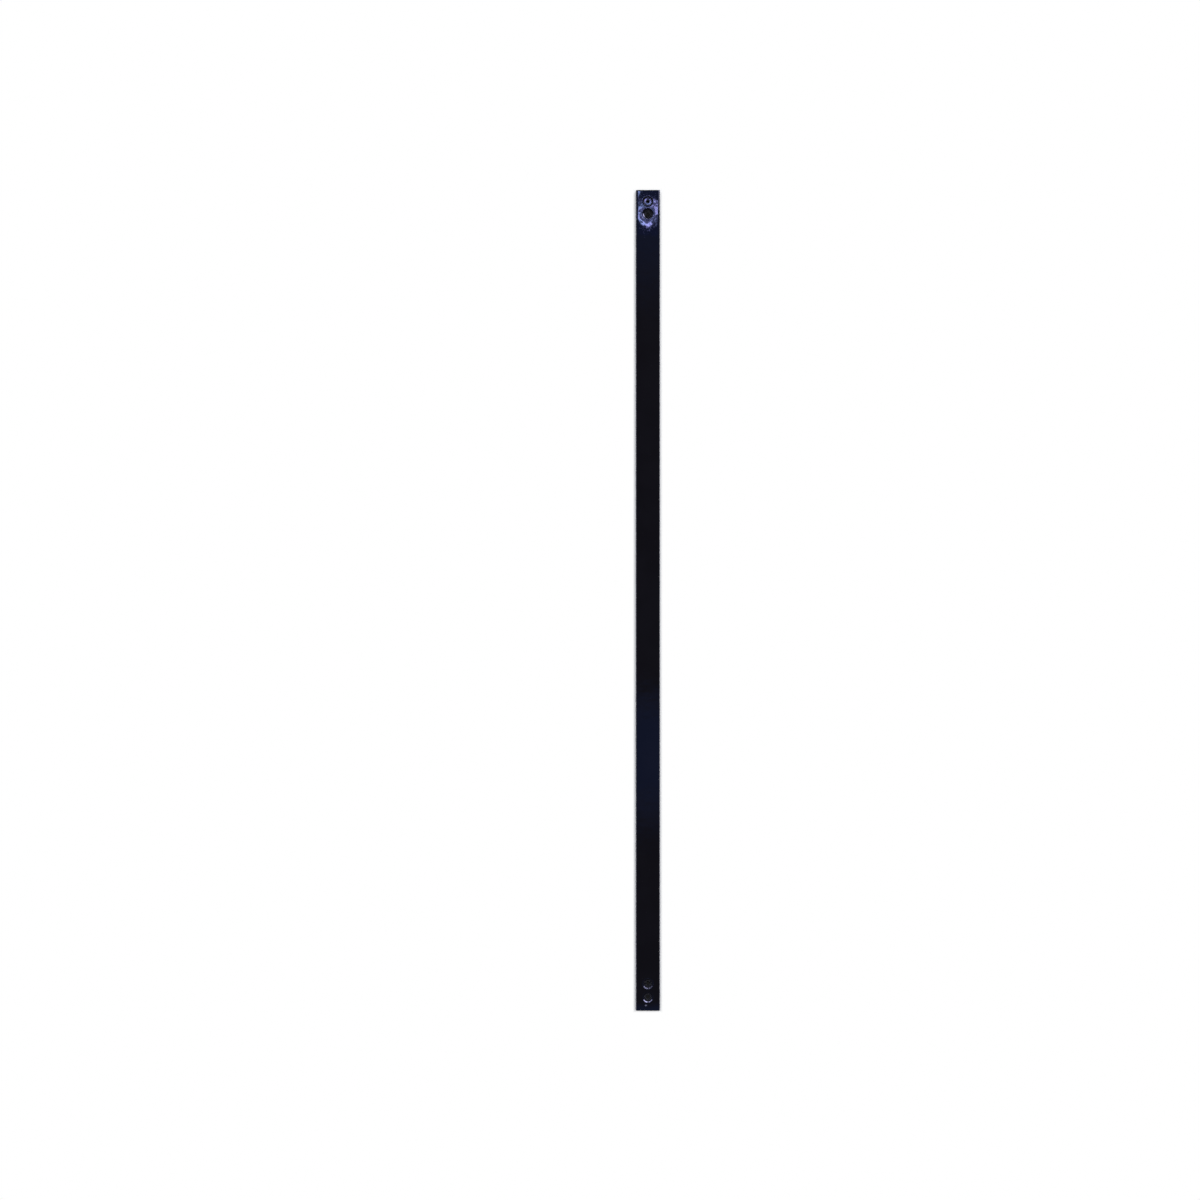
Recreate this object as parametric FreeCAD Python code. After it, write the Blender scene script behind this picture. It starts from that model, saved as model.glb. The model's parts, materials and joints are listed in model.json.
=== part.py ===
"""Stair baluster: one length of thin rectangular steel tube, fixed flat against the stair by four screws.

Millimetres. The baluster lies on its back face at Z = 0, with its front face up at Z = DEPTH.
Y runs along it towards its upper end, with Y = 0 at mid-length, and X runs across its width.
Three of the screws are driven in through access holes pressed into the front wall, and bear on the
back wall. The fourth, nearest the upper end, goes through both walls and sits in a round recess.
"""
import FreeCAD, Part
import math
import os

# Tube
LENGTH = 863.6
WIDTH = 25.4
DEPTH = 12.7
WALL = 1.2
CORNER_RADIUS = 1.9
SHARPEST_INNER_CORNER = 0.2
END_EDGE_BREAK = 0.3

# Screw positions, each measured from the tube's end or from the screw before it
LOWER_END_TO_SCREW = 13.8
LOWER_SCREW_PITCH = 14.3
UPPER_END_TO_SCREW = 11.9
UPPER_SCREW_PITCH = 13.0

# Screw holes in the back wall, and in the recess
SCREW_HOLE_RADIUS = 1.85

# Access holes: the wall is drawn inwards to a sloping lip, cut square to the sheet at the hole
ACCESS_HOLE_RADIUS = 4.1
LIP_FLANK = 1.2
LIP_INNER_BEND = 0.3
LIP_SLOPE_DEG = 30.0

# Recess for a screw's head: a flat-bottomed step pressed into the front wall
HEAD_SEAT_RADIUS = 4.05
HEAD_SEAT_DEPTH = 0.6
RECESS_RIM_RADIUS = 0.45
RECESS_FLOOR_RADIUS = 0.3
RECESS_SLOPE_DEG = 50.0

# Drill and punch bodies run past the wall that they cut by this much
CUT_OVERRUN = 0.5


def vector(x, y, z):
    return FreeCAD.Vector(x, y, z)


def rounded_rectangle(width, depth, radius):
    """Face across the tube at its lower end, centred in the tube's section."""
    def corner_point(centre, angle_deg):
        angle = math.radians(angle_deg)
        return centre + vector(radius * math.cos(angle), 0, radius * math.sin(angle))

    x = width / 2 - radius
    z = depth / 2 - radius
    middle = vector(0, -LENGTH / 2, DEPTH / 2)
    arcs = []
    for quarter, (side, rise) in enumerate([(1, -1), (1, 1), (-1, 1), (-1, -1)]):
        centre = middle + vector(side * x, 0, rise * z)
        first = 90 * quarter - 90
        arcs.append([corner_point(centre, first + turn) for turn in (0, 45, 90)])
    edges = []
    for arc, following in zip(arcs, arcs[1:] + arcs[:1]):
        edges.append(Part.Arc(*arc).toShape())
        edges.append(Part.makeLine(arc[2], following[0]))
    return Part.Face(Part.Wire(edges))


def plain_tube():
    """The cut length of tube, with the outer edge of each end broken."""
    run = vector(0, LENGTH, 0)
    outside = rounded_rectangle(WIDTH, DEPTH, CORNER_RADIUS).extrude(run)
    end_edges = [
        edge for edge in outside.Edges
        if math.isclose(edge.BoundBox.YLength, 0, abs_tol=1e-6)
    ]
    outside = outside.makeChamfer(END_EDGE_BREAK, end_edges)
    inner_corner = max(CORNER_RADIUS - WALL, SHARPEST_INNER_CORNER)
    inside = rounded_rectangle(WIDTH - 2 * WALL, DEPTH - 2 * WALL, inner_corner).extrude(run)
    return outside.cut(inside)


def at(radius, depth):
    """Point of a pressing's half section: distance from its axis, and depth below the front face."""
    return vector(radius, 0, DEPTH - depth)


def bend(centre, radius, first_deg, last_deg):
    """Arc of a half section about centre, with angles from straight up, turning towards the axis."""
    points = []
    for angle_deg in (first_deg, (first_deg + last_deg) / 2, last_deg):
        angle = math.radians(angle_deg)
        points.append(centre + vector(-radius * math.sin(angle), 0, radius * math.cos(angle)))
    return Part.Arc(*points).toShape()


def ring_from(chain):
    """Solid ring: a line joins each edge to the next, and the closed section is turned about Z."""
    edges = []
    for edge, following in zip(chain, chain[1:] + chain[:1]):
        edges.append(edge)
        edges.append(Part.makeLine(edge.lastVertex(True).Point, following.firstVertex(True).Point))
    section = Part.Face(Part.Wire(edges))
    return section.revolve(vector(0, 0, 0), vector(0, 0, 1), 360)


def access_lip():
    """Sloping lip of an access hole, and the radius where it leaves the flat face."""
    slope = math.radians(LIP_SLOPE_DEG)
    front_bend = WALL + LIP_INNER_BEND
    outer = ACCESS_HOLE_RADIUS + LIP_FLANK * math.cos(slope) + front_bend * math.sin(slope)
    centre = at(outer, front_bend)
    front = bend(centre, front_bend, 0, LIP_SLOPE_DEG)
    edge_depth = front_bend * (1 - math.cos(slope)) + LIP_FLANK * math.sin(slope)
    edge = at(ACCESS_HOLE_RADIUS, edge_depth)
    through_wall = vector(WALL * math.sin(slope), 0, -WALL * math.cos(slope))
    cut = Part.makeLine(edge, edge + through_wall)
    back = bend(centre, LIP_INNER_BEND, LIP_SLOPE_DEG, 0)
    return ring_from([front, cut, back]), outer


def head_recess():
    """Stepped recess with a flat floor and a screw hole, and the radius where it leaves the flat face."""
    slope = math.radians(RECESS_SLOPE_DEG)
    bends = RECESS_RIM_RADIUS + RECESS_FLOOR_RADIUS
    flank = (HEAD_SEAT_DEPTH - bends * (1 - math.cos(slope))) / math.sin(slope)
    outer = HEAD_SEAT_RADIUS + bends * math.sin(slope) + flank * math.cos(slope)
    rim_centre = at(outer, RECESS_RIM_RADIUS)
    floor_centre = at(HEAD_SEAT_RADIUS, HEAD_SEAT_DEPTH - RECESS_FLOOR_RADIUS)
    through_wall = vector(0, 0, -WALL)
    foot = 180 + RECESS_SLOPE_DEG
    front_rim = bend(rim_centre, RECESS_RIM_RADIUS, 0, RECESS_SLOPE_DEG)
    front_floor = bend(floor_centre, RECESS_FLOOR_RADIUS, foot, 180)
    hole_mouth = at(SCREW_HOLE_RADIUS, HEAD_SEAT_DEPTH)
    hole_wall = Part.makeLine(hole_mouth, hole_mouth + through_wall)
    back_floor = bend(floor_centre + through_wall, RECESS_FLOOR_RADIUS, 180, foot)
    back_rim = bend(rim_centre + through_wall, RECESS_RIM_RADIUS, RECESS_SLOPE_DEG, 0)
    return ring_from([front_rim, front_floor, hole_wall, back_floor, back_rim]), outer


def drill(radius, y, low, high):
    return Part.makeCylinder(radius, high - low, vector(0, y, low), vector(0, 0, 1))


def baluster_tube():
    """The tube with its pressed holes in the front wall and its screw holes in the back wall."""
    lower_end = -LENGTH / 2
    upper_end = LENGTH / 2
    recess_y = upper_end - UPPER_END_TO_SCREW
    access_ys = [
        lower_end + LOWER_END_TO_SCREW,
        lower_end + LOWER_END_TO_SCREW + LOWER_SCREW_PITCH,
        recess_y - UPPER_SCREW_PITCH,
    ]
    lip, lip_outer = access_lip()
    recess, recess_outer = head_recess()
    pressings = [(lip, lip_outer, y) for y in access_ys] + [(recess, recess_outer, recess_y)]

    front_low = DEPTH - WALL - CUT_OVERRUN
    front_high = DEPTH + CUT_OVERRUN
    cuts = []
    rings = []
    for ring, outer, y in pressings:
        cuts.append(drill(outer, y, front_low, front_high))
        cuts.append(drill(SCREW_HOLE_RADIUS, y, -CUT_OVERRUN, WALL + CUT_OVERRUN))
        rings.append(ring.translated(vector(0, y, 0)))
    return plain_tube().cut(cuts).fuse(rings).removeSplitter()


os.makedirs("parts", exist_ok=True)
tube = baluster_tube()
tube.exportStep("parts/baluster_tube.step")
print("solids", len(tube.Solids), "valid", tube.isValid())
print("volume mm3", round(tube.Volume, 1), "box", tube.BoundBox)
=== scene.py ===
# %% [markdown]
# # A stair baluster made from thin steel tube
# The real object is one length of rectangular tube, painted gloss black, that is screwed flat against a
# stair. Three of its screws go in through holes that a punch has pressed into the front, and the fourth
# sits in a small round recess near the upper end. Everything that makes it look like pressed metal happens
# at those four places, so most of this lesson is spent there.

# %% Load the frame
import bmesh
import bpy
import json
import math
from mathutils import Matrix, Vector


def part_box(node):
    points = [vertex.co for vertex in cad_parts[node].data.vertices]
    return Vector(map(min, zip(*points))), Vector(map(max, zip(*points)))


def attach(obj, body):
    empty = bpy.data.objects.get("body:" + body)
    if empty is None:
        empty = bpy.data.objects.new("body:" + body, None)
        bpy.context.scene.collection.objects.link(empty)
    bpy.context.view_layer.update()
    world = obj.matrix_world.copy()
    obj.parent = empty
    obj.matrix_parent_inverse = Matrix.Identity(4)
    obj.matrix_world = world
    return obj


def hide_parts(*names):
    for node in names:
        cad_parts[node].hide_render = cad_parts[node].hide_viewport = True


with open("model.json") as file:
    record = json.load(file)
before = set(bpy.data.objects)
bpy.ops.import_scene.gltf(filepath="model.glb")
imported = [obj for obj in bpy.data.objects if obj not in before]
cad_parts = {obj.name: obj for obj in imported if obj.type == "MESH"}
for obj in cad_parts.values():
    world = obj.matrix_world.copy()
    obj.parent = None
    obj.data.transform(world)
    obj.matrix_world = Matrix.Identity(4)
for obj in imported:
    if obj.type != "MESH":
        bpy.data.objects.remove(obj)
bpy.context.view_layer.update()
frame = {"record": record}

# %% [markdown]
# The CAD model already fixes the tube's size and where its screws are. Reading both from the frame, and not
# typing them again, keeps the visible tube exactly where the CAD tube is. The tube lies on its back: its
# front face looks up, its length runs along Y with the upper end at +Y, and X runs across its width.

# %% Read the tube's size and the places of its screws
MM = 0.001
tube_low, tube_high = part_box("baluster_tube")
WIDTH, LENGTH, DEPTH = tube_high - tube_low
UPPER_END = tube_high.y


def screw_places(mount):
    """The Y of each screw in one row of screws, from the lowest up."""
    spacing = mount["dims"]["spacing_y_mm"] * MM
    count = mount["dims"]["count"]
    first = mount["pos_m"][1] - spacing * (count - 1) / 2
    return [first + spacing * step for step in range(count)]


screw_rows = {
    mount["name"]: mount for mount in frame["record"]["mounts"]
    if mount["kind"] == "bolt_pattern"
}
lower_screws = screw_places(screw_rows["lower_screw_holes"])
upper_access, recess_place = screw_places(screw_rows["upper_screw_holes"])
access_places = lower_screws + [upper_access]
SCREW_HOLE = screw_rows["lower_screw_holes"]["dims"]["hole_r_mm"] * MM
print("tube", round(WIDTH / MM, 1), "x", round(LENGTH / MM, 1), "x", round(DEPTH / MM, 1), "mm")
print("access holes at Y", [round(place / MM, 1) for place in access_places], "mm")
print("recess at Y", round(recess_place / MM, 1), "mm")

# %% [markdown]
# Most of the work in a scripted mesh is choosing what the next tool acts on. By hand you would click on it.
# In a script it is safer to describe it by where it is, because numbers of faces and edges change after
# every cut. This helper drops the old selection and takes only what passes a test.

# %% A helper that selects by place
SELECT_MODES = {"verts": "VERT", "edges": "EDGE", "faces": "FACE"}
SAME_WITHIN = 0.004 * MM


def select(kind, wanted):
    """In the mesh being edited, select only the vertices, edges or faces that pass a test."""
    bpy.ops.mesh.select_mode(type=SELECT_MODES[kind])
    bpy.ops.mesh.select_all(action="DESELECT")
    shape = bmesh.from_edit_mesh(bpy.context.object.data)
    chosen = [item for item in getattr(shape, kind) if wanted(item)]
    for item in chosen:
        item.select_set(True)
    bmesh.update_edit_mesh(bpy.context.object.data)
    return len(chosen)


def middle(edge):
    """The point halfway along an edge."""
    return (edge.verts[0].co + edge.verts[1].co) / 2


def same(value, target):
    """True where two lengths agree to a few thousandths of a millimetre."""
    return abs(value - target) < SAME_WITHIN


print("selecting to within", SAME_WITHIN / MM, "mm")

# %% [markdown]
# The tube is rolled from sheet, so it has an outer skin and an inner skin with the wall between them, and
# the inner corners are tighter than the outer ones by the wall's thickness. A Solidify modifier could make
# the wall from one skin, but it would fold over itself at the tight step of the recess. So both skins are
# made here as open sleeves, and the wall is closed later at the holes and at the ends.

# %% Make the outer and the inner sleeve
WALL = 1.2 * MM
OUTER_CORNER = 1.9 * MM
CORNER_STEPS = 10
ROUND_PROFILE = 0.5
FACES_AN_END = 0.9


def sleeve(name, width, depth, corner):
    """An open sleeve as long as the tube, about the tube's axis, with its four long corners rounded."""
    bpy.ops.object.select_all(action="DESELECT")
    bpy.ops.mesh.primitive_cube_add(size=1, location=(0, 0, DEPTH / 2), scale=(width, LENGTH, depth))
    bpy.ops.object.transform_apply(location=True, rotation=True, scale=True)
    piece = bpy.context.object
    piece.name = name
    bpy.ops.object.mode_set(mode="EDIT")
    select("faces", lambda face: abs(face.normal.y) > FACES_AN_END)
    bpy.ops.mesh.delete(type="FACE")
    select("edges", lambda edge: same(middle(edge).y, 0))
    bpy.ops.mesh.bevel(offset=corner, segments=CORNER_STEPS, profile=ROUND_PROFILE, affect="EDGES")
    bpy.ops.object.mode_set(mode="OBJECT")
    return piece


outer = sleeve("baluster", WIDTH, DEPTH, OUTER_CORNER)
inner = sleeve("inner_skin", WIDTH - 2 * WALL, DEPTH - 2 * WALL, OUTER_CORNER - WALL)
print("outer sleeve", len(outer.data.polygons), "faces, inner sleeve", len(inner.data.polygons), "faces")

# %% [markdown]
# The inner skin has to face the hollow, so its faces are turned over before the two are joined. Each skin
# gets a material slot of its own first, because joined faces keep the slot they came with: the outside is
# painted, while deep inside the tube the steel is bare.

# %% Join the two skins
paint = bpy.data.materials.new("baluster_gloss_paint")
bare_steel = bpy.data.materials.new("bare_steel_inside")
outer.data.materials.append(paint)
inner.data.materials.append(bare_steel)

bpy.ops.object.mode_set(mode="EDIT")
bpy.ops.mesh.select_all(action="SELECT")
bpy.ops.mesh.flip_normals()
bpy.ops.object.mode_set(mode="OBJECT")

bpy.ops.object.select_all(action="DESELECT")
inner.select_set(True)
outer.select_set(True)
bpy.context.view_layer.objects.active = outer
bpy.ops.object.join()
baluster = outer
slot_names = [slot.name for slot in baluster.material_slots]
print("joined skins", len(baluster.data.polygons), "faces, slots", slot_names)

# %% [markdown]
# A hole needs a frame of edges around it to be joined to. Bisect cuts straight through everything that is
# selected, so two cuts across the length at each hole, and two cuts along the whole tube, leave a square
# face in the front wall and another in the back wall at every screw. A few more cuts next to the rounded
# corners and the ends keep smooth shading from bending the flat faces.

# %% Cut the sleeves into panels around the holes
PANEL = 6.4 * MM
FLAT_EDGE = 0.5 * MM
END_STRIP = 1.2 * MM
hole_places = access_places + [recess_place]


def cut_across(point, normal):
    """Cut the whole mesh along a plane."""
    bpy.ops.mesh.select_all(action="SELECT")
    bpy.ops.mesh.bisect(plane_co=point, plane_no=normal)


bpy.ops.object.mode_set(mode="EDIT")
for hole in hole_places:
    for side in (-PANEL, PANEL):
        cut_across((0, hole + side, 0), (0, 1, 0))
for x in (PANEL, WIDTH / 2 - OUTER_CORNER - FLAT_EDGE):
    cut_across((-x, 0, 0), (1, 0, 0))
    cut_across((x, 0, 0), (1, 0, 0))
for z in (OUTER_CORNER + FLAT_EDGE, DEPTH - OUTER_CORNER - FLAT_EDGE):
    cut_across((0, 0, z), (0, 0, 1))
for end in (-1, 1):
    cut_across((0, end * (UPPER_END - END_STRIP), 0), (0, 1, 0))
bpy.ops.object.mode_set(mode="OBJECT")
print("after the cuts", len(baluster.data.polygons), "faces")

# %% [markdown]
# Each hole is built the way a turner would read its section: a list of radii and depths, from one face of
# the sheet, round the edge, to the other face. First the square panel has to go. The edge that it leaves is
# divided into as many pieces as a circle has, so that the two can be joined edge by edge.

# %% Open a panel
SIDE_STEPS = 20
RING_POINTS = 4 * SIDE_STEPS


def open_panel(hole, z):
    """Remove the square panel at one height, and divide the edge of the opening like a circle."""
    def on_panel(point):
        reach = max(abs(point.x), abs(point.y - hole))
        return same(point.z, z) and reach < PANEL + SAME_WITHIN

    select("faces", lambda face: all(on_panel(corner.co) for corner in face.verts))
    bpy.ops.mesh.delete(type="FACE")
    select("edges", lambda edge: edge.is_boundary and all(on_panel(corner.co) for corner in edge.verts))
    bpy.ops.mesh.subdivide(number_cuts=SIDE_STEPS - 1)
    return on_panel


print("each opening gets", RING_POINTS, "edges")

# %% [markdown]
# A round ring is joined to the square opening with Bridge Edge Loops. Bridge can't tell which way round to
# join two loops that lie flat about the same centre, so the ring is half a millimetre off its place while
# it is bridged, and goes back afterwards.

# %% Join a ring to an opening
RING_LIFT = 0.5 * MM


def bridge_to_panel(hole, on_panel, radius, ring_z, shift):
    """Bridge the ring at a height to a square opening, then shift the ring to its own height."""
    def on_ring(point):
        return same(point.z, ring_z) and same(math.hypot(point.x, point.y - hole), radius)

    def loose(edge):
        ends = [corner.co for corner in edge.verts]
        return len(edge.link_faces) < 2 and (all(map(on_panel, ends)) or all(map(on_ring, ends)))

    select("edges", loose)
    bpy.ops.mesh.bridge_edge_loops()
    select("edges", lambda edge: all(on_ring(corner.co) for corner in edge.verts))
    bpy.ops.transform.translate(value=(0, 0, shift))


print("rings are bridged", RING_LIFT / MM, "mm off their place")

# %% [markdown]
# With these two the press itself is short. A circle is bridged to the opening in the outer skin. It is
# extruded, resized and lowered once for every point of the section, and the last ring is bridged to the
# opening in the inner skin. A Boolean with a turned cutter could make a hole too, but not the bent sheet
# around it.

# %% The press
def press_hole(hole, face_z, inward, section):
    """Press a hole into one wall. The section lists (radius, depth) from the outer to the inner face."""
    outer_panel = open_panel(hole, face_z)
    inner_panel = open_panel(hole, face_z + inward * WALL)
    radius, depth = section[0]
    start_z = face_z + inward * RING_LIFT
    bpy.ops.mesh.primitive_circle_add(vertices=RING_POINTS, radius=radius, location=(0, hole, start_z))
    bridge_to_panel(hole, outer_panel, radius, start_z, -inward * RING_LIFT)
    for next_radius, next_depth in section[1:]:
        bpy.ops.mesh.extrude_edges_indiv()
        ratio = next_radius / radius
        bpy.ops.transform.resize(value=(ratio, ratio, 1), center_override=(0, hole, face_z))
        bpy.ops.transform.translate(value=(0, 0, inward * (next_depth - depth)))
        radius, depth = next_radius, next_depth
    bpy.ops.transform.translate(value=(0, 0, inward * RING_LIFT))
    last_z = face_z + inward * (WALL + RING_LIFT)
    bridge_to_panel(hole, inner_panel, radius, last_z, -inward * RING_LIFT)


print("the press works on", len(hole_places), "places in each wall")

# %% [markdown]
# A section is made of straight lines and small arcs. By hand you would draw it as a profile. Here it is a
# list of points, and two helpers draw what isn't straight: one follows a bend of the sheet, and the other
# softens a cut corner, because paint never leaves a sharp one.

# %% Helpers that draw a section
EASE_STEPS = 4


def arc(centre, radius, first_deg, last_deg, steps):
    """Points along an arc. Angles turn from straight out of the sheet towards the hole's axis."""
    points = []
    for step in range(steps + 1):
        angle = math.radians(first_deg + (last_deg - first_deg) * step / steps)
        points.append((centre[0] - radius * math.sin(angle), centre[1] - radius * math.cos(angle)))
    return points


def towards(start, finish, distance):
    """The point this far along the line from start to finish."""
    share = distance / math.dist(start, finish)
    return (start[0] + share * (finish[0] - start[0]), start[1] + share * (finish[1] - start[1]))


def eased(before, corner, after, ease):
    """A corner of a section, rounded from a little before it to a little after it."""
    first = towards(corner, before, ease)
    last = towards(corner, after, ease)
    points = []
    for step in range(EASE_STEPS + 1):
        share = step / EASE_STEPS
        weights = ((1 - share) ** 2, 2 * share * (1 - share), share ** 2)
        points.append(tuple(sum(map(math.prod, zip(weights, values))) for values in zip(first, corner, last)))
    return points


print("an eased corner gets", EASE_STEPS + 1, "points")

# %% [markdown]
# The access holes are wide enough for a screw's head and the driver behind it. The punch that makes such a
# hole in thin sheet draws the metal in with it, so the edge bends over, slopes down into the hole and ends
# square to the sloping sheet. The slope is what catches the light: its lower half shows a bright curve to
# each side.

# %% Press the three access holes
ACCESS_HOLE = 4.1 * MM
LIP_FLANK = 1.2 * MM
LIP_BEND = 1.5 * MM
LIP_SLOPE = 30
CUT_EASE = 0.2 * MM
FLAT_RING = 0.3 * MM
FRONT_BEND_STEPS = 8
BACK_BEND_STEPS = 4


def lip_section():
    """Section of an access hole's sloping lip."""
    slope = math.radians(LIP_SLOPE)
    outer_edge = ACCESS_HOLE + LIP_FLANK * math.cos(slope) + LIP_BEND * math.sin(slope)
    centre = (outer_edge, LIP_BEND)
    front = [(outer_edge + FLAT_RING, 0)] + arc(centre, LIP_BEND, 0, LIP_SLOPE, FRONT_BEND_STEPS)
    back = arc(centre, LIP_BEND - WALL, LIP_SLOPE, 0, BACK_BEND_STEPS)
    front_tip = (ACCESS_HOLE, front[-1][1] + LIP_FLANK * math.sin(slope))
    back_tip = (front_tip[0] + WALL * math.sin(slope), front_tip[1] + WALL * math.cos(slope))
    cut = eased(front[-1], front_tip, back_tip, CUT_EASE) + eased(front_tip, back_tip, back[0], CUT_EASE)
    return front + [towards(front_tip, front[-1], 2 * CUT_EASE)] + cut + back


bpy.ops.object.mode_set(mode="EDIT")
lip = lip_section()
for hole in access_places:
    press_hole(hole, DEPTH, -1, lip)
bpy.ops.object.mode_set(mode="OBJECT")
print("lip from radius", round(lip[0][0] / MM, 2), "mm,", len(baluster.data.polygons), "faces")

# %% [markdown]
# The uppermost screw has no access hole. Its head sits in a shallow round recess in the front wall, a step
# pressed half through the sheet with a flat floor and tight edges, so the floor keeps the flat face's shine
# while the steep flank around it stays dark. The sheet keeps its thickness straight through, so the section
# of its back is the front's, one wall deeper, in the opposite order.

# %% Press the screw-head recess
SEAT = 4.05 * MM
SEAT_DEPTH = 0.6 * MM
RIM_BEND = 0.45 * MM
FLOOR_BEND = 0.3 * MM
RECESS_SLOPE = 50
FLOOR_MARGIN = 0.4 * MM
HOLE_EASE = 0.15 * MM
RIM_STEPS = 6
FOOT_STEPS = 5


def recess_section():
    """Section of the stepped recess and the screw hole in its floor."""
    slope = math.radians(RECESS_SLOPE)
    bends = RIM_BEND + FLOOR_BEND
    flank = (SEAT_DEPTH - bends * (1 - math.cos(slope))) / math.sin(slope)
    edge = SEAT + bends * math.sin(slope) + flank * math.cos(slope)
    rim = [(edge + FLAT_RING, 0)] + arc((edge, RIM_BEND), RIM_BEND, 0, RECESS_SLOPE, RIM_STEPS)
    foot_centre = (SEAT, SEAT_DEPTH - FLOOR_BEND)
    foot = arc(foot_centre, FLOOR_BEND, 180 + RECESS_SLOPE, 180, FOOT_STEPS)
    floor = [(SEAT - FLOOR_MARGIN, SEAT_DEPTH), (SCREW_HOLE + FLOOR_MARGIN, SEAT_DEPTH)]
    step = rim + foot + floor
    mouth = eased(step[-1], (SCREW_HOLE, SEAT_DEPTH), (SCREW_HOLE, SEAT_DEPTH + WALL), HOLE_EASE)
    far_step = [(radius, depth + WALL) for radius, depth in reversed(step)]
    tail = eased((SCREW_HOLE, SEAT_DEPTH), (SCREW_HOLE, SEAT_DEPTH + WALL), far_step[0], HOLE_EASE)
    return step + mouth + tail + far_step


bpy.ops.object.mode_set(mode="EDIT")
recess = recess_section()
press_hole(recess_place, DEPTH, -1, recess)
bpy.ops.object.mode_set(mode="OBJECT")
print("recess from radius", round(recess[0][0] / MM, 2), "mm,", len(baluster.data.polygons), "faces")

# %% [markdown]
# Behind each of the four places the back wall has a plain drilled screw hole. The same tool makes it, with
# the shortest section of all: straight through, with both edges a little softened.

# %% Drill the back wall
near = (2 * SCREW_HOLE, 0)
mouth = (SCREW_HOLE, 0)
tail = (SCREW_HOLE, WALL)
far = (2 * SCREW_HOLE, WALL)
drilled = eased(near, mouth, tail, HOLE_EASE) + eased(mouth, tail, far, HOLE_EASE)
bpy.ops.object.mode_set(mode="EDIT")
for hole in hole_places:
    press_hole(hole, 0, 1, drilled)
bpy.ops.object.mode_set(mode="OBJECT")
print("with screw holes", len(baluster.data.polygons), "faces")

# %% [markdown]
# The ends are cut square and left open. Bridging the outer edge of each end to the inner one closes the
# wall, and a small bevel on both edges stands for the burr having been taken off before painting.

# %% Close the wall at both ends
END_BREAK = 0.3 * MM
BREAK_STEPS = 3
FACES_A_SIDE = 0.5
DOUBLES_WITHIN = 0.001 * MM


def rim_of(edge, end):
    """True for an edge of the cut end where it meets the outer or the inner skin."""
    at_end = all(same(corner.co.y, end) for corner in edge.verts)
    return at_end and any(abs(face.normal.y) < FACES_A_SIDE for face in edge.link_faces)


bpy.ops.object.mode_set(mode="EDIT")
for end in (-UPPER_END, UPPER_END):
    select("edges", lambda edge: edge.is_boundary and same(middle(edge).y, end))
    bpy.ops.mesh.bridge_edge_loops()
    select("edges", lambda edge: rim_of(edge, end))
    bpy.ops.mesh.bevel(offset=END_BREAK, segments=BREAK_STEPS, profile=ROUND_PROFILE, affect="EDGES")
bpy.ops.mesh.select_all(action="SELECT")
bpy.ops.mesh.remove_doubles(threshold=DOUBLES_WITHIN)
bpy.ops.mesh.normals_make_consistent(inside=False)
bpy.ops.object.mode_set(mode="OBJECT")

shape = bmesh.new()
shape.from_mesh(baluster.data)
open_edges = sum(len(edge.link_faces) != 2 for edge in shape.edges)
print("open edges", open_edges, "volume in mm3", round(shape.calc_volume(signed=True) / MM ** 3))
shape.free()

# %% [markdown]
# Smooth shading blends the light over neighbouring faces, which rounds the corners and lips. At the edge of
# a large flat face it would also bend the flat's reflection, so a Weighted Normal modifier lets the larger
# face decide the shading there. It is applied, like any finished modifier.

# %% Shade the tube
SHARP_EDGE_DEG = 40
bpy.ops.object.select_all(action="DESELECT")
baluster.select_set(True)
bpy.context.view_layer.objects.active = baluster
bpy.ops.object.shade_smooth_by_angle(angle=math.radians(SHARP_EDGE_DEG))
weighting = baluster.modifiers.new("flat_faces_decide", "WEIGHTED_NORMAL")
weighting.keep_sharp = True
bpy.ops.object.modifier_apply(modifier=weighting.name)
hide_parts("baluster_tube")
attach(baluster, "root")
print("finished tube", len(baluster.data.polygons), "faces")

# %% [markdown]
# Materials are networks of nodes. Written one node at a time they are long and hard to read, so this small
# class wraps the output of a node: adding or multiplying such values adds the Math nodes, and one method
# adds any other node from its settings and its inputs.

# %% A small language for shader nodes
class Wire:
    """The output of a shader node. Arithmetic on wires adds Math nodes to the same tree."""

    def __init__(self, tree, socket):
        self.tree = tree
        self.socket = socket

    @classmethod
    def node(cls, tree, kind, settings, inputs, output=0):
        """Add a node: first its settings, then the value or the wire of each input."""
        made = tree.nodes.new(kind)
        for name, setting in settings.items():
            setattr(made, name, setting)
        for name, value in inputs.items():
            if isinstance(value, Wire):
                tree.links.new(value.socket, made.inputs[name])
            else:
                made.inputs[name].default_value = value
        return cls(tree, made.outputs[output]) if made.outputs else None

    def math(self, operation, first, second=0):
        return Wire.node(self.tree, "ShaderNodeMath", {"operation": operation}, {0: first, 1: second})

    def __add__(self, other):
        return self.math("ADD", self, other)

    def __radd__(self, other):
        return self.math("ADD", other, self)

    def __sub__(self, other):
        return self.math("SUBTRACT", self, other)

    def __rsub__(self, other):
        return self.math("SUBTRACT", other, self)

    def __mul__(self, other):
        return self.math("MULTIPLY", self, other)

    def __rmul__(self, other):
        return self.math("MULTIPLY", other, self)

    def __truediv__(self, other):
        return self.math("DIVIDE", self, other)

    def __rtruediv__(self, other):
        return self.math("DIVIDE", other, self)

    def __abs__(self):
        return self.math("ABSOLUTE", self)

    def larger(self, other):
        return self.math("MAXIMUM", self, other)

    def smooth(self, low, high):
        """0 below low, 1 above high, and a soft step between them."""
        settings = {"interpolation_type": "SMOOTHSTEP"}
        return Wire.node(self.tree, "ShaderNodeMapRange", settings, {"Value": self, 1: low, 2: high})


methods = [name for name in vars(Wire) if callable(getattr(Wire, name))]
print("a wire has", len(methods), "methods")

# %% [markdown]
# A few more helpers name what every finish below needs: an empty tree, the place on the surface, one
# coordinate of it, its distance from a point, a soft random pattern, and a mix of two colours. All patterns
# read Object coordinates, which are metres on the real tube. Noise lies evenly about a half.

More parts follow.
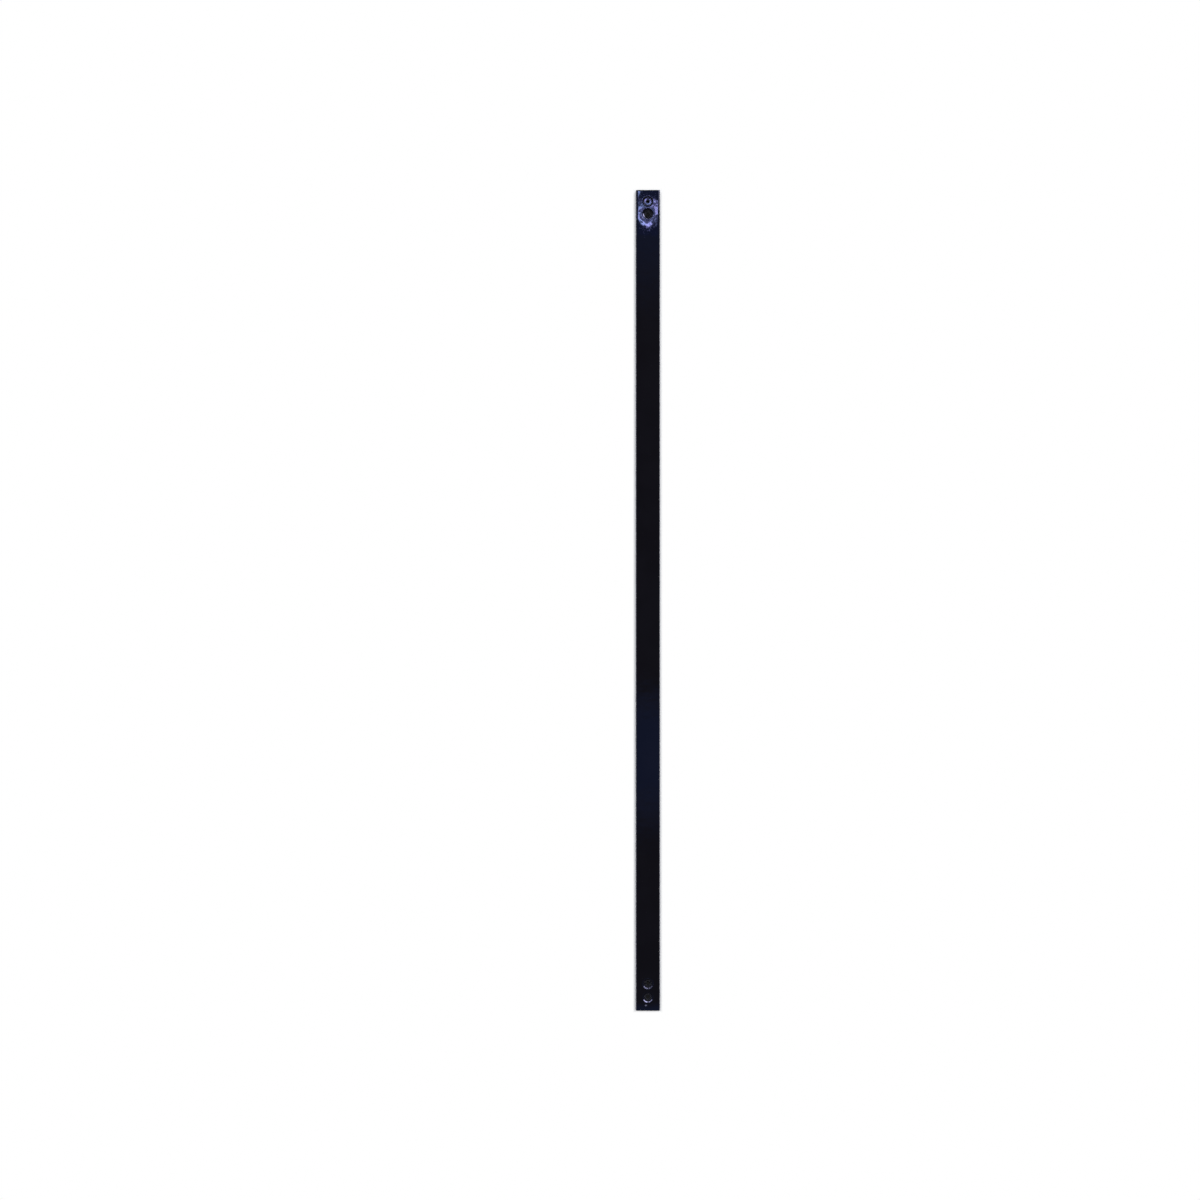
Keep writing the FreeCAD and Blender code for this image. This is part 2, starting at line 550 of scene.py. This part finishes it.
# %% Helpers for patterns and colours
NOISE_MEAN = 0.5
SOFT_LAYERS = 2
ROUGH_LAYERS = 3


def fresh_tree(owner):
    """The empty node tree of a material or of the world."""
    owner.use_nodes = True
    owner.node_tree.nodes.clear()
    return owner.node_tree


def surface_place(tree):
    """The place on the surface, in metres from the object's origin."""
    return Wire.node(tree, "ShaderNodeTexCoord", {}, {}, "Object")


def coordinate(place, axis):
    """One coordinate of a place or of a direction."""
    return Wire.node(place.tree, "ShaderNodeSeparateXYZ", {}, {"Vector": place}, axis)


def distance(place, point):
    """How far each place is from a point."""
    settings = {"operation": "DISTANCE"}
    return Wire.node(place.tree, "ShaderNodeVectorMath", settings, {0: place, 1: point}, "Value")


def noise(place, per_metre, layers, seed=0, twist=0):
    """Soft random blotches, so many to the metre. Each seed gives another pattern."""
    inputs = {"Vector": place, "W": seed, "Scale": per_metre, "Detail": layers, "Distortion": twist}
    return Wire.node(place.tree, "ShaderNodeTexNoise", {"noise_dimensions": "4D"}, inputs)


def blend(factor, first, second):
    """Mix two colours: the first where the factor is 0, the second where it is 1."""
    settings = {"data_type": "RGBA"}
    return Wire.node(factor.tree, "ShaderNodeMix", settings, {"Factor": factor, 6: first, 7: second}, 2)


print("node helpers ready")

# %% [markdown]
# The paint is a baked gloss. It is nearly a mirror, but not a flat one: paint levels into long waves about
# a hundredth of a millimetre high, with a far finer orange peel on them. They don't show as relief, yet
# they make the edges of every reflection wander, and that is what the eye knows as paint. The punch also
# leaves the sheet drawn in around each hole, and the saw leaves the lower end rolled over, both by about a
# tenth of a millimetre at most. That is too little to model, but a mirror shows it at once, because it
# bends the reflections there. One bump map with real heights in metres gives all of them.

# %% The paint's relief
WAVES_PER_METRE = 110
WAVE_HEIGHT = 0.015 * MM
EXTRA_WAVES_AT_HOLES = 2
PEEL_PER_METRE = 700
PEEL_HEIGHT = 0.00025 * MM
ACCESS_DRAW = 0.06 * MM
ACCESS_REACH = 6 * MM
RECESS_DRAW = 0.03 * MM
RECESS_RIM = 4.9 * MM
RECESS_REACH = 6 * MM
END_ROLL = 0.12 * MM
END_ROLL_REACH = 12 * MM
tree = fresh_tree(paint)
place = surface_place(tree)


def dish_around(hole):
    """1 at the middle of an access hole, a half at its reach, and fading out beyond it."""
    reaches = distance(place, (0, hole, DEPTH)) / ACCESS_REACH
    return 1 / (1 + reaches * reaches)


waves = noise(place, WAVES_PER_METRE, SOFT_LAYERS)
peel = noise(place, PEEL_PER_METRE, SOFT_LAYERS)
dish = sum(dish_around(hole) for hole in access_places)
from_recess = distance(place, (0, recess_place, DEPTH))
step_down = 1 - from_recess.smooth(RECESS_RIM, RECESS_REACH)
from_lower_end = UPPER_END + coordinate(place, "Y")
rolled = (1 - from_lower_end / END_ROLL_REACH).larger(0)
drawn_in = dish * ACCESS_DRAW + step_down * RECESS_DRAW + rolled * rolled * END_ROLL
height = waves * (1 + EXTRA_WAVES_AT_HOLES * dish) * WAVE_HEIGHT + peel * PEEL_HEIGHT - drawn_in
relief = Wire.node(tree, "ShaderNodeBump", {}, {"Strength": 1, "Distance": 1, "Height": height})
print("relief takes", len(tree.nodes), "nodes")

# %% [markdown]
# Black paint needs hardly any colour. What there is varies a little from place to place, because the coat
# isn't equally thick. The blue cast that the photograph shows is in the reflections, so it goes into
# Specular Tint. One small spot near the lower end is painted a pale bluish grey: it is the space around a
# point, with an outline that the peel's noise makes ragged, and it raises the roughness there too. The
# lip of the second hole from below is a little dull as well, so it mirrors the lamps more dimly than the
# others do.

# %% The paint's colour and gloss
THICK_BLACK = (0.0026, 0.0024, 0.003, 1)
THIN_BLACK = (0.0034, 0.0032, 0.0042, 1)
PALE_SPOT_GREY = (0.13, 0.135, 0.19, 1)
BLUE_CAST = (0.6, 0.6, 1, 1)
PAINT_IOR = 1.65
SMOOTHEST = 0.014
PEEL_DULLS = 0.012
PALE_SPOT_DULLS = 0.4
LIP_DULLS = 0.2
DULL_LIP_RIM = 5.5 * MM
DULL_LIP_REACH = 7 * MM
BLOTCHES_PER_METRE = 35
BLOTCH_THICK = 0.35
BLOTCH_THIN = 0.65
# A small pale bluish-grey spot near the lower end, also rougher.
PALE_SPOT_PLACE = (-2 * MM, 5.8 * MM - UPPER_END, DEPTH)
PALE_SPOT_HEART = 0.2 * MM
PALE_SPOT_REACH = 1.4 * MM
PALE_SPOT_RAGGED = 3 * MM
blotches = noise(place, BLOTCHES_PER_METRE, SOFT_LAYERS)
from_pale_spot = distance(place, PALE_SPOT_PLACE) + (peel - NOISE_MEAN) * PALE_SPOT_RAGGED
pale_spot = 1 - from_pale_spot.smooth(PALE_SPOT_HEART, PALE_SPOT_REACH)
from_dull_hole = distance(place, (0, lower_screws[1], DEPTH))
dull_lip = 1 - from_dull_hole.smooth(DULL_LIP_RIM, DULL_LIP_REACH)
black = blend(blotches.smooth(BLOTCH_THICK, BLOTCH_THIN), THICK_BLACK, THIN_BLACK)
gloss = {
    "Base Color": blend(pale_spot, black, PALE_SPOT_GREY),
    "Roughness": SMOOTHEST + peel * PEEL_DULLS + pale_spot * PALE_SPOT_DULLS + dull_lip * LIP_DULLS,
    "Normal": relief,
    "IOR": PAINT_IOR,
    "Specular Tint": BLUE_CAST,
}
surface = Wire.node(tree, "ShaderNodeBsdfPrincipled", {}, gloss)
Wire.node(tree, "ShaderNodeOutputMaterial", {}, {"Surface": surface})
print("the whole paint takes", len(tree.nodes), "nodes")

# %% [markdown]
# Paint is sprayed on from outside, so inside the tube only a thin, dark overspray reaches a little way in
# from the ends and the holes, which are near the ends. Its dark, bluish colour is partly painted shade,
# kept dark so that what is seen through the holes stays as dark as the face. Further in there is bare
# zinc-coated steel with its pale spangle. A soft step on the distance from the end, with its edge broken up
# by noise, is enough to tell that story to anyone who looks in.

# %% The bare steel inside
# Dark overspray near the ends, partly painted shade inside the holes.
OVERSPRAY_AND_PAINTED_SHADE = (0.027, 0.0275, 0.04, 1)
DARK_ZINC = (0.22, 0.22, 0.23, 1)
PALE_ZINC = (0.36, 0.36, 0.37, 1)
SPANGLES_PER_METRE = 260
SPRAY_AND_SHADE_THINS = 35 * MM
SPRAY_AND_SHADE_ENDS = 85 * MM
SPRAY_AND_SHADE_RAGGED = 40 * MM
SPRAY_ROUGHNESS = 0.55
STEEL_SMOOTHER = 0.12
STEEL_METALLIC = 0.9
tree = fresh_tree(bare_steel)
place = surface_place(tree)
spangle = noise(place, SPANGLES_PER_METRE, ROUGH_LAYERS)
from_end = UPPER_END - abs(coordinate(place, "Y")) + (spangle - NOISE_MEAN) * SPRAY_AND_SHADE_RAGGED
bare = from_end.smooth(SPRAY_AND_SHADE_THINS, SPRAY_AND_SHADE_ENDS)
steel = {
    # Overspray and painted shade near the ends, bare zinc further in.
    "Base Color": blend(bare, OVERSPRAY_AND_PAINTED_SHADE, blend(spangle, DARK_ZINC, PALE_ZINC)),
    "Metallic": bare * STEEL_METALLIC,
    "Roughness": SPRAY_ROUGHNESS - bare * STEEL_SMOOTHER,
}
surface = Wire.node(tree, "ShaderNodeBsdfPrincipled", {}, steel)
Wire.node(tree, "ShaderNodeOutputMaterial", {}, {"Surface": surface})
print("the inside takes", len(tree.nodes), "nodes")

# %% [markdown]
# The photograph shows the tube on pure white. A lit white floor would fall off to grey away from the lamps,
# so it is an ordinary matt white only close to the tube, where it keeps the soft shadow, and turns into an
# even white glow further out. Light Path lets only rays that are seen get the glow, straight or in a
# reflection, so it lights nothing else. Right under the tube the floor is painted dark as painted shade:
# lamp light that falls through a hole would otherwise make bright spots there, which a stair behind the tube
# wouldn't show.

# %% The floor
FLOOR_SIZE = 60
FLOOR_GAP = 0.1 * MM
FLOOR_WHITE = (0.93, 0.93, 0.93, 1)
# The dark colour right under the tube is painted shade.
PAINTED_SHADE_UNDER_TUBE = (0.03, 0.03, 0.03, 1)
DARK_ENDS = -2 * MM
WHITE_BEGINS = -1 * MM
SHADOW_REACH = 3.5 * MM
bpy.ops.object.select_all(action="DESELECT")
bpy.ops.mesh.primitive_plane_add(size=FLOOR_SIZE, location=(0, 0, -FLOOR_GAP))
floor = bpy.context.object
floor.name = "floor"
bpy.ops.object.transform_apply(location=True, rotation=True, scale=True)
white = bpy.data.materials.new("white_floor")
floor.data.materials.append(white)
tree = fresh_tree(white)
place = surface_place(tree)
from_side = abs(coordinate(place, "X")) - WIDTH / 2
outside = from_side.larger(abs(coordinate(place, "Y")) - UPPER_END)
straight = Wire.node(tree, "ShaderNodeLightPath", {}, {}, "Is Camera Ray")
mirrored = Wire.node(tree, "ShaderNodeLightPath", {}, {}, "Is Glossy Ray")
through = Wire.node(tree, "ShaderNodeLightPath", {}, {}, "Is Transmission Ray")
# Painted shade under the tube, white floor around it.
colour = blend(outside.smooth(DARK_ENDS, WHITE_BEGINS), PAINTED_SHADE_UNDER_TUBE, FLOOR_WHITE)
matt = Wire.node(tree, "ShaderNodeBsdfDiffuse", {}, {"Color": colour})
glow = Wire.node(tree, "ShaderNodeEmission", {}, {"Color": (1, 1, 1, 1), "Strength": 1})
glowing = outside.smooth(0, SHADOW_REACH) * (straight + mirrored + through)
surface = Wire.node(tree, "ShaderNodeMixShader", {}, {0: glowing, 1: matt, 2: glow})
Wire.node(tree, "ShaderNodeOutputMaterial", {}, {"Surface": surface})
print("the floor takes", len(tree.nodes), "nodes")

# %% [markdown]
# What we see on black gloss is the room. This one is white at the horizon, has grey walls above it, and a
# dim ceiling with three strips of blue skylight. The flat front face looks straight up, so it shows the
# ceiling and stays nearly black, with a bluer stretch where each skylight is mirrored, while the rounded
# corners catch the walls and draw the thin grey lines along the edges. A colour worked out from the
# direction of view is all that this takes, and no picture of a room is needed. The steps are heights and
# slopes of that direction.

# %% The room
HORIZON = (1, 1, 1, 1)
LEFT_WALL = (0.46, 0.445, 0.43, 1)
RIGHT_WALL = (0.175, 0.172, 0.17, 1)
DIM_CEILING = (0.077, 0.0735, 0.072, 1)
SKY_BLUE = (0.088, 0.144, 0.26, 1)
SKYLIGHTS = [
    (-0.3, -0.2, -0.14, -0.102, 1),
    (-0.064, -0.043, -0.032, -0.018, 1),
    (0.066, 0.1, 0.15, 0.3, 0.6),
]
WALL_TURN = 0.9
HORIZON_ENDS = (0.12, 0.22)
CEILING_BEGINS = (0.1, 0.45)
room = bpy.data.worlds.new("room")
bpy.context.scene.world = room
tree = fresh_tree(room)
direction = Wire.node(tree, "ShaderNodeTexCoord", {}, {}, "Generated")
ahead = coordinate(direction, "Y")
up = coordinate(direction, "Z")


def skylight(begins, full, fades, ends, fade):
    """A strip of light across the ceiling: where it begins, is full, fades and ends, and by what share."""
    return ahead.smooth(begins, full) * (1 - fade * ahead.smooth(fades, ends))


ceiling = blend(sum(skylight(*steps) for steps in SKYLIGHTS), DIM_CEILING, SKY_BLUE)
walls = blend(coordinate(direction, "X").smooth(-WALL_TURN, WALL_TURN), LEFT_WALL, RIGHT_WALL)
sides = blend(up.smooth(*HORIZON_ENDS), HORIZON, walls)
colour = blend(up.smooth(*CEILING_BEGINS), sides, ceiling)
surface = Wire.node(tree, "ShaderNodeBackground", {}, {"Color": colour, "Strength": 1})
Wire.node(tree, "ShaderNodeOutputWorld", {}, {"Surface": surface})
print("the room takes", len(tree.nodes), "nodes")

# %% [markdown]
# Four soft strip lamps stand in an arc beyond the upper end, and show up on the sloping lips of the lower
# holes as pieces of a bright curve. The two on the right are stronger, so the left half of each curve is
# brighter. A lip that slopes at 30 degrees mirrors up to the camera only what stands about 30 degrees above
# the floor, a little more at the lower end, which the camera sees from the middle. So the lamps hang there,
# and they are thin: from other sides the flat face turns white where it mirrors a lamp, and a thin lamp
# keeps that to less than half of the length. An area lamp's strength is given in watts, so the brightness
# that should show is turned into watts by its area.

# %% The strip lamps
WATTS_PER_AREA = 4


def lamp(name, place, target, width, tall, brightness):
    """A rectangular soft lamp that faces a target and shows at a given brightness."""
    bpy.ops.object.light_add(type="AREA", location=place)
    soft = bpy.context.object
    soft.name = name
    soft.data.shape = "RECTANGLE"
    soft.data.size = width
    soft.data.size_y = tall
    soft.data.energy = WATTS_PER_AREA * width * tall * brightness
    facing = Vector(target) - Vector(place)
    soft.rotation_euler = facing.to_track_quat("-Z", "Y").to_euler()
    soft.visible_camera = False
    print(name, "of", round(soft.data.energy, 2), "watts")
    return soft


TUBE_MIDDLE = (0, 0, 0)
STRIP_DISTANCE = 4
STRIP_WIDTH = 2.4
STRIP_TALL = 0.45
for name, azimuth_deg, raised, brightness in [
    ("right_front_strip", 24, 3.1, 16.5),
    ("right_side_strip", 58, 2.82, 10.5),
    ("left_front_strip", -24, 3.1, 7),
    ("left_side_strip", -58, 2.82, 4.7),
]:
    azimuth = math.radians(azimuth_deg)
    spot = (STRIP_DISTANCE * math.sin(azimuth), STRIP_DISTANCE * math.cos(azimuth), raised)
    lamp(name, spot, TUBE_MIDDLE, STRIP_WIDTH, STRIP_TALL, brightness)

# %% [markdown]
# The upper hole is seen from the other side, so its lip mirrors a place lower down, about 28 degrees above
# the floor, and misses the strips. The photograph shows one bright spot on its left. A small lamp close by,
# to the right of the upper end, gives that spot. It would light the floor beside it too, so only
# reflections see it. Last comes a large lamp overhead, which lights the floor more than any other does. It
# would be mirrored in the whole front face, so it is hidden from reflections instead.

# %% A glint and the overhead light
GLINT_AZIMUTH = math.radians(64)
GLINT_RISE = math.radians(27.9)
GLINT_DISTANCE = 136 * MM
GLINT_WIDTH = 80 * MM
GLINT_TALL = 20 * MM
GLINT_BRIGHTNESS = 10.5
OVERHEAD_HEIGHT = 5
OVERHEAD_SIZE = 4
OVERHEAD_BRIGHTNESS = 2.4
upper_hole = Vector((0, upper_access, DEPTH))
level_run = GLINT_DISTANCE * math.cos(GLINT_RISE)
rise = GLINT_DISTANCE * math.sin(GLINT_RISE)
from_hole = Vector((level_run * math.sin(GLINT_AZIMUTH), level_run * math.cos(GLINT_AZIMUTH), rise))
glint_place = upper_hole + from_hole
glint = lamp("upper_glint", glint_place, upper_hole, GLINT_WIDTH, GLINT_TALL, GLINT_BRIGHTNESS)
glint.visible_diffuse = False
above = (0, 0, OVERHEAD_HEIGHT)
overhead = lamp("overhead_light", above, TUBE_MIDDLE, OVERHEAD_SIZE, OVERHEAD_SIZE, OVERHEAD_BRIGHTNESS)
overhead.visible_glossy = False

# %% [markdown]
# The photograph looks at the face square on, so the camera hangs straight above the tube, far enough away
# for the whole length to fit with the margins that the photograph has. The rows and the column of pixels
# where the tube starts, ends and lies give the distance and the sideways place by proportion. A long lens
# keeps the view into all four holes nearly straight.

# %% The camera
LENS = 120
SENSOR = 36
FRAME_PIXELS = 1200
TOP_ROW = 190.0
BOTTOM_ROW = 1010.8
TUBE_COLUMN = 647.9
FARTHEST_SEEN = 100
pixel = LENGTH / (BOTTOM_ROW - TOP_ROW)
camera_height = pixel * FRAME_PIXELS * LENS / SENSOR
camera_x = (FRAME_PIXELS / 2 - TUBE_COLUMN) * pixel
camera_y = ((TOP_ROW + BOTTOM_ROW) / 2 - FRAME_PIXELS / 2) * pixel
bpy.ops.object.camera_add(location=(camera_x, camera_y, DEPTH + camera_height), rotation=(0, 0, 0))
camera = bpy.context.object
camera.data.lens = LENS
camera.data.sensor_width = SENSOR
camera.data.clip_end = FARTHEST_SEEN
bpy.context.scene.camera = camera
bpy.context.scene.view_settings.view_transform = "Standard"
print("camera", round(camera_height, 3), "m above the front face, one pixel is", round(pixel / MM, 4), "mm")

# %% [markdown]
# Around the two upper holes the photograph shows a pale blue, cloudy patch that ends below in a V. It isn't
# on the paint: it is something bright that the gloss mirrors there. So it is hung up here as a card, which
# only reflections can see. A mirror sends a ray on at the slope at which it came, so what hangs a third as
# high as the camera lies a third as far beyond the mirrored place as that place is from the camera's foot.

# %% Hang a card where the upper holes mirror it
HANG = 1.5
PATCH_HALF = 20 * MM
PATCH_LENGTH = 46 * MM
grow = 1 + HANG / camera_height


def mirror_place(x, y):
    """Where something hangs for the camera to see it mirrored at a place on the front face."""
    return Vector((camera_x + grow * (x - camera_x), camera_y + grow * (y - camera_y), DEPTH + HANG))


first_corner = mirror_place(-PATCH_HALF, UPPER_END - PATCH_LENGTH)
last_corner = mirror_place(PATCH_HALF, UPPER_END)
card_middle = (first_corner + last_corner) / 2
bpy.ops.object.select_all(action="DESELECT")
bpy.ops.mesh.primitive_plane_add(size=1, location=card_middle)
bpy.ops.transform.resize(value=(last_corner.x - first_corner.x, last_corner.y - first_corner.y, 1))
bpy.ops.object.transform_apply(location=True, rotation=True, scale=True)
card = bpy.context.object
card.name = "blue_card"
card.visible_camera = False
card.visible_diffuse = False
card.visible_shadow = False
print("card of", [round(value / MM) for value in last_corner - first_corner], "mm")

# %% [markdown]
# The card's pattern is worked out in lengths on the tube's face: how far below the upper end, and how far
# to either side. Adding a share of the second to the first gives lines that run down to a V, so noise that
# is stretched along those lines makes chevron streaks. Two more noises will make the edges ragged and shift
# the colour.

# %% Streaks on the card
V_SLOPE = 1.1
STRETCH_ALONG = 0.3
STRETCH_ACROSS = 0.35
STREAKS_PER_METRE = 250
RAGS_PER_METRE = 130
TINTS_PER_METRE = 90
pale_blue = bpy.data.materials.new("pale_blue_card")
card.data.materials.append(pale_blue)
tree = fresh_tree(pale_blue)
place = surface_place(tree)
across = (coordinate(place, "X") - card_middle.x) / grow
aside = abs(across)
below = (last_corner.y - coordinate(place, "Y")) / grow
chevron = below + V_SLOPE * aside
streaks = {"X": chevron, "Y": STRETCH_ALONG * (below - aside), "Z": STRETCH_ACROSS * across}
streak_place = Wire.node(tree, "ShaderNodeCombineXYZ", {}, streaks)
clouds = noise(streak_place, STREAKS_PER_METRE, ROUGH_LAYERS, seed=11.76, twist=0.3)
ragged = noise(place, RAGS_PER_METRE, ROUGH_LAYERS, seed=6.92, twist=1) - NOISE_MEAN
tints = noise(place, TINTS_PER_METRE, SOFT_LAYERS, seed=1.5)
print("the streaks take", len(tree.nodes), "nodes")

# %% [markdown]
# Soft steps give the patch its outline: a pointed lower edge along the V, a flatter upper edge, and on the
# left a faint arm that runs on up to the tube's end. The drawn-in sheet gathers the card's middle into a
# ring round the access hole, so the middle is dimmed.

# %% The patch's outline
LOWER_RAGGED = 10 * MM
LOWER_FADES = 38 * MM
LOWER_ENDS = 41.5 * MM
UPPER_SLOPE = 0.3
UPPER_RAGGED = 8 * MM
UPPER_BEGINS = 8 * MM
UPPER_FULL = 11 * MM
ARM_LEVEL = 0.7
ARM_FADES = -9.6 * MM
ARM_ENDS = -8.3 * MM
HEART_LEVEL = 0.5
HEART_EDGE = 3 * MM
HEART_REACH = 10 * MM
lower_edge = 1 - (chevron + ragged * LOWER_RAGGED).smooth(LOWER_FADES, LOWER_ENDS)
upper_edge = (below - UPPER_SLOPE * aside + ragged * UPPER_RAGGED).smooth(UPPER_BEGINS, UPPER_FULL)
left_arm = ARM_LEVEL - ARM_LEVEL * across.smooth(ARM_FADES, ARM_ENDS)
from_heart = distance(place, mirror_place(0, upper_access)) / grow
dimmed = HEART_LEVEL + (1 - HEART_LEVEL) * from_heart.smooth(HEART_EDGE, HEART_REACH)
outline = lower_edge * upper_edge.larger(left_arm) * dimmed
print("with its outline the patch takes", len(tree.nodes), "nodes")

# %% [markdown]
# The card glows rather than being lit, so its brightness doesn't depend on the lamps. Between the streaks
# it is navy, and the streaks shift between blue and lilac.

# %% The card's glow
CARD_BRIGHTNESS = 18
CARD_NAVY = (0.004, 0.007, 0.0165, 1)
CARD_BLUE = (0.58, 0.78, 1, 1)
CARD_LILAC = (0.7, 0.69, 1, 1)
GAP_LEVEL = 0.04
STREAK_STEP = (0.46, 0.6)
TINT_STEP = (0.4, 0.6)
cloudy = GAP_LEVEL + (1 - GAP_LEVEL) * clouds.smooth(*STREAK_STEP)
tint = blend(tints.smooth(*TINT_STEP), CARD_BLUE, CARD_LILAC)
colour = blend(outline * cloudy, CARD_NAVY, tint)
glow = Wire.node(tree, "ShaderNodeEmission", {}, {"Color": colour, "Strength": CARD_BRIGHTNESS})
Wire.node(tree, "ShaderNodeOutputMaterial", {}, {"Surface": glow})
print("the card takes", len(tree.nodes), "nodes")

# %% [markdown]
